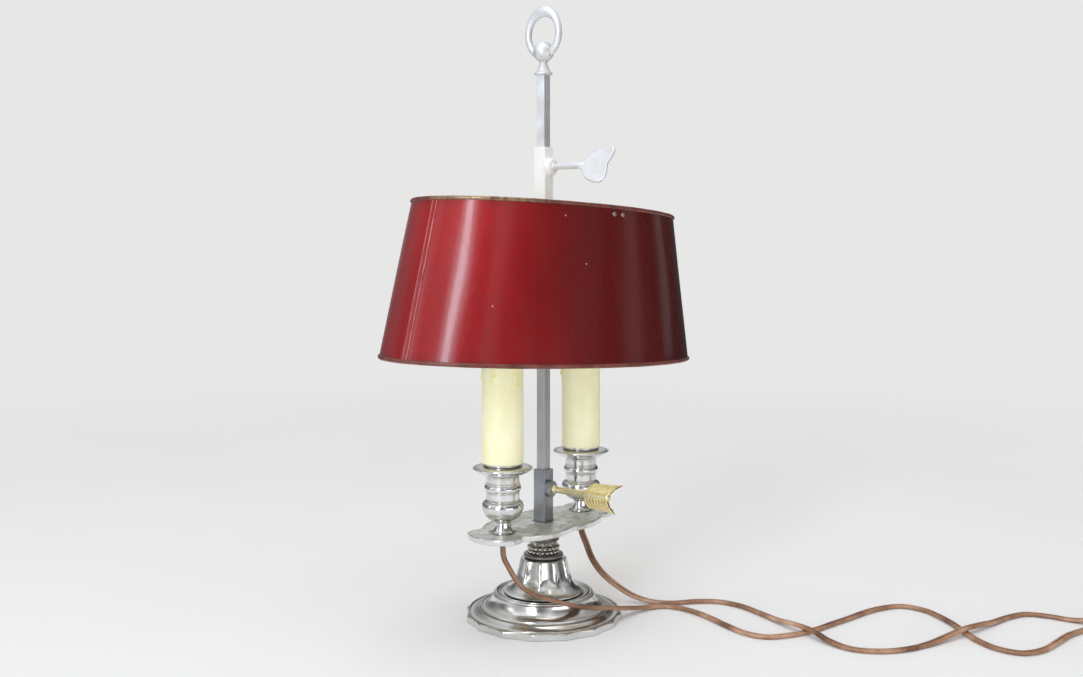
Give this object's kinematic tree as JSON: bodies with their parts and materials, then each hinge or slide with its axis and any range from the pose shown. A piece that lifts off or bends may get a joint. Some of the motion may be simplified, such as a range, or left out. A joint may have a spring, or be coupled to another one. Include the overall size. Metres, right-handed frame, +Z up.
{
  "type": "bouillotte lamp",
  "caption": "Table lamp with two candle lights on a sliding tray and an oval painted metal shade, both clamped to a square stem by screws.",
  "frame": {"origin": "on the table under the middle of the round base", "axes": "+Z up the stem, +X along the tray from the left light to the right one, -Y the way both clamp screws point"},
  "size_m": [0.448, 0.5596, 0.4724],
  "materials": {
    "silver_plate": "polished silver plate with warm tarnish in the hollows",
    "dark_neck": "turned ring gone dark",
    "pale_gold": "worn pale gold, barbs brighter than the grooves",
    "brass": "plain brass, dulled",
    "cast_iron": "rough casting",
    "steel": "plain",
    "felt": "close felt",
    "candle": "ivory tube with soft wax runs at the top",
    "holder": "plain",
    "bulb": "frosted",
    "shade_paint": "dark red lacquer, crazed and chipped at the rims; pale inside",
    "worn_rim": "dark bronze, rubbed to bare metal in places",
    "flex": "tan flat twin flex, slightly glossy",
    "supply_flex": "brown round flex",
    "tie": "plain band",
    "brown_plastic": "moulded",
    "soft_brown": "moulded",
    "rocker": "moulded",
    "nickel": "nickel plated"
  },
  "bodies": {
    "base": {"base_foot": "silver_plate", "base_weight": "cast_iron", "base_felt": "felt", "base_washer": "steel", "base_nut": "brass", "fluted_pedestal": "silver_plate", "neck_ring": "dark_neck", "leaf_collar": "silver_plate", "neck_cap": "silver_plate", "stem_bar": "silver_plate", "finial_cone": "silver_plate", "ring_finial": "silver_plate", "left_lead": "flex", "right_lead": "flex", "switch_base": "brown_plastic", "switch_cover": "brown_plastic", "switch_screws": "nickel", "supply_cord": "supply_flex", "cord_coil": "supply_flex", "coil_tie": "tie", "plug_body": "brown_plastic", "plug_relief": "soft_brown", "plug_pins": "nickel"},
    "rocker": {"switch_rocker": "rocker"},
    "tray": {"tray_plate": "silver_plate", "tray_boss": "silver_plate", "tray_sleeve": "silver_plate", "left_cup": "silver_plate", "right_cup": "silver_plate", "left_drip_pan": "silver_plate", "right_drip_pan": "silver_plate", "left_candle": "candle", "right_candle": "candle", "left_nipple": "brass", "right_nipple": "brass", "left_locknut": "brass", "right_locknut": "brass", "left_gland": "brass", "right_gland": "brass", "left_lampholder": "holder", "right_lampholder": "holder", "left_socket_shell": "brass", "right_socket_shell": "brass", "left_bulb_cap": "brass", "right_bulb_cap": "brass", "left_bulb": "bulb", "right_bulb": "bulb"},
    "arrow": {"arrow_screw": "pale_gold", "arrow_stud": "brass"},
    "shade": {"shade_shell": "shade_paint", "shade_top_wire": "worn_rim", "shade_bottom_wire": "worn_rim", "shade_seams": "shade_paint", "shade_spider": "brass", "spider_collar": "brass", "shade_sleeve": "silver_plate", "spider_rivets": "silver_plate"},
    "key": {"key_screw": "silver_plate", "key_stud": "brass"}
  },
  "joints": [
    {"name": "tray_slide", "type": "slide", "parent": "base", "child": "tray", "axis": [0, 0, 1], "range_m": [0, 0.06], "deforming": ["left_lead", "right_lead"]},
    {"name": "shade_slide", "type": "slide", "parent": "base", "child": "shade", "axis": [0, 0, 1], "range_m": [-0.08, 0.054]},
    {"name": "arrow_screw_turn", "type": "hinge", "parent": "tray", "child": "arrow", "pos_m": [0, -0.03, 0.0995], "axis": [0, 1, 0], "range_deg": [-270, 0]},
    {"name": "key_screw_turn", "type": "hinge", "parent": "shade", "child": "key", "pos_m": [0, -0.03, 0.3476], "axis": [0, 1, 0], "range_deg": [-270, 0]},
    {"name": "switch_rock", "type": "hinge", "parent": "base", "child": "rocker", "pos_m": [0.26773, -0.37511, 0.0096], "axis": [-0.7771, -0.6293, 0], "range_deg": [0, 18]}
  ]
}
